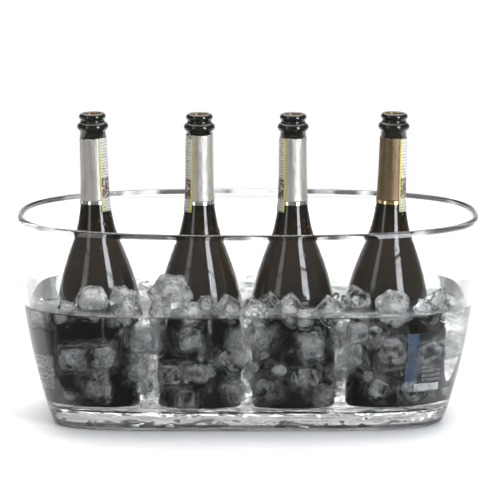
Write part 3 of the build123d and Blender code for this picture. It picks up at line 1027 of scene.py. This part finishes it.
def make_droplets(number, at):
    """Condensation on the shoulder and neck."""
    dice = random.Random(40 + number)
    points, faces = [], []
    for _ in range(DROPLETS):
        height = dice.triangular(120, 242, 160)
        turn = dice.uniform(0, 2 * math.pi)
        size = dice.choice((0.35, 0.45, 0.6, 0.6, 0.9, 1.2)) * dice.uniform(0.8, 1.2)
        run = dice.choice((1.0, 1.0, 1.3, 2.2))
        add_droplet(points, faces, height, turn, size, run)
    mesh = mesh_of(f"bottle_{number}_droplets", points, faces)
    add_piece(f"bottle_{number}_droplets", mesh, f"bottle_{number}", [], ["droplet"], at)


def add_droplet(points, faces, height, turn, size, run):
    """A bead of water that stands on the glass, longer downward where it has run."""
    base = len(points)
    around, rings = DROPLET_AROUND, DROPLET_RINGS
    for ring in range(rings):
        swell = math.pi / 2 * ring / rings
        for i in range(around):
            spin = 2 * math.pi * i / around
            across = size * math.cos(swell) * math.cos(spin)
            along = size * run * math.cos(swell) * math.sin(spin)
            z = height + along
            r = neck_radius(z) - 0.05 + size * 0.5 * math.sin(swell)
            angle = turn + across / r
            points.append((r * MM * math.cos(angle), r * MM * math.sin(angle), z * MM))
    r = neck_radius(height) - 0.05 + size * 0.5
    points.append((r * MM * math.cos(turn), r * MM * math.sin(turn), height * MM))
    for ring in range(rings - 1):
        for i in range(around):
            j = (i + 1) % around
            a, b = base + ring * around, base + (ring + 1) * around
            faces.append((a + i, a + j, b + j, b + i))
    top = base + (rings - 1) * around
    for i in range(around):
        faces.append((top + i, top + (i + 1) % around, len(points) - 1))
    faces.append([base + i for i in range(around)][::-1])


def make_bottles():
    glass = turned_mesh("bottle_glass", glass_profile())
    wet_faces(glass, WATER_LEVEL - FLOOR - FLOOR_GAP)
    for number, bottle in enumerate(BOTTLES, 1):
        at = place(bottle)
        body = f"bottle_{number}"
        looks = ["glass", "glass_wet"]
        add_piece(body + "_vessel", glass.copy(), body, [body + "_glass"], looks, at)
        make_foil(number, at)
        make_strip(number, bottle, at)
        make_label(number, bottle, at)
        make_droplets(number, at)
        dress(body + "_wine", "wine")
        dress(body + "_foil_band", "gold_band" if number == 4 else "silver_band")


def dress(node, material):
    """Gives a CAD node that stays its material."""
    piece = NODES[node]
    for slot in piece.material_slots:
        slot.material = MATERIALS[material]


# ---------------------------------------------------------------- stage


def make_floor():
    """A pale table. Gloss and glass show only the parts that lamps would light in a real studio."""
    shader = Shader("floor", Roughness=0.9, Specular_IOR_Level=0.1)
    shader.set("Base Color", shader.ramp(shader.noise(3), (0.3, 0.90), (0.7, 0.93)))
    for name, near, far, mirrored in FLOOR_PARTS:
        corners = [(-FLOOR_SIDE, near), (FLOOR_SIDE, near), (FLOOR_SIDE, far), (-FLOOR_SIDE, far)]
        mesh = mesh_of(name, [(x, y, -FLOOR_DROP) for x, y in corners], [(0, 1, 2, 3)], False)
        mesh.materials.append(shader.material)
        floor = bpy.data.objects.new(name, mesh)
        bpy.context.scene.collection.objects.link(floor)
        floor.visible_glossy = floor.visible_transmission = mirrored


def softbox(name, place_at, target, width, height, strength, colour=(1, 1, 1)):
    """A rectangular lamp, its strength in watts."""
    data = bpy.data.lights.new(name, "AREA")
    data.shape = "RECTANGLE"
    data.size, data.size_y = width, height
    data.energy = strength
    data.color = colour
    lamp = bpy.data.objects.new(name, data)
    bpy.context.scene.collection.objects.link(lamp)
    lamp.location = place_at
    lamp.rotation_euler = (Vector(target) - Vector(place_at)).to_track_quat("-Z", "Y").to_euler()


def make_world():
    """White behind and above, and grey at the sides and in front, where the photographer stands."""
    world = bpy.data.worlds.new("studio")
    bpy.context.scene.world = world
    world.use_nodes = True
    tree = world.node_tree
    tree.nodes.clear()

    def node(kind, **settings):
        made = tree.nodes.new("ShaderNode" + kind)
        for name, value in settings.items():
            setattr(made, name, value)
        return made

    def span(value, low, high):
        made = node("MapRange")
        tree.links.new(value, made.inputs["Value"])
        made.inputs["From Min"].default_value = low
        made.inputs["From Max"].default_value = high
        return made.outputs["Result"]

    def combine(operation, one, two):
        made = node("Math", operation=operation)
        for socket, value in zip(made.inputs, (one, two)):
            if isinstance(value, float):
                socket.default_value = value
            else:
                tree.links.new(value, socket)
        return made.outputs["Value"]

    parts = node("SeparateXYZ")
    tree.links.new(node("TexCoord").outputs["Generated"], parts.inputs["Vector"])
    back = span(parts.outputs["Y"], 0.55, 0.90)
    above = combine("MULTIPLY", span(parts.outputs["Z"], 0.75, 0.9), 0.8)
    bright = combine("MAXIMUM", combine("MAXIMUM", back, above), 0.20)
    seen = node("LightPath").outputs["Is Camera Ray"]
    bright = combine("MAXIMUM", bright, seen)
    background = node("Background")
    tree.links.new(bright, background.inputs["Strength"])
    background.inputs["Color"].default_value = (1, 1, 1, 1)
    tree.links.new(background.outputs["Background"], node("OutputWorld").inputs["Surface"])


def make_camera():
    data = bpy.data.cameras.new("camera")
    data.lens = CAMERA_LENS
    data.sensor_width = 36
    data.clip_start, data.clip_end = 0.05, 60
    camera = bpy.data.objects.new("camera", data)
    bpy.context.scene.collection.objects.link(camera)
    camera.location = CAMERA_PLACE
    camera.rotation_euler = (math.radians(90 - CAMERA_PITCH), 0, 0)
    bpy.context.scene.camera = camera


def light_the_scene():
    make_world()
    middle = (0, 0, 0.18)
    softbox("right_softbox", (1.05, -1.25, 0.62), middle, 0.55, 1.3, 28, (0.90, 0.94, 1.0))
    softbox("left_softbox", (-1.15, -1.15, 0.55), middle, 0.45, 1.2, 3.6)
    softbox("overhead", (0.0, 0.7, 2.2), (0, 0.5, 0), 3.0, 2.6, 96)
    scene = bpy.context.scene
    scene.view_settings.view_transform = "Standard"
    scene.view_settings.look = "None"
    scene.cycles.max_bounces = 32
    scene.cycles.transmission_bounces = 28
    scene.cycles.transparent_max_bounces = 48
    scene.cycles.glossy_bounces = 12
    scene.cycles.diffuse_bounces = 4
    scene.cycles.sample_clamp_indirect = 6


make_bowl()
make_water(make_ice())
make_slush()
make_bottles()
make_floor()
light_the_scene()
make_camera()
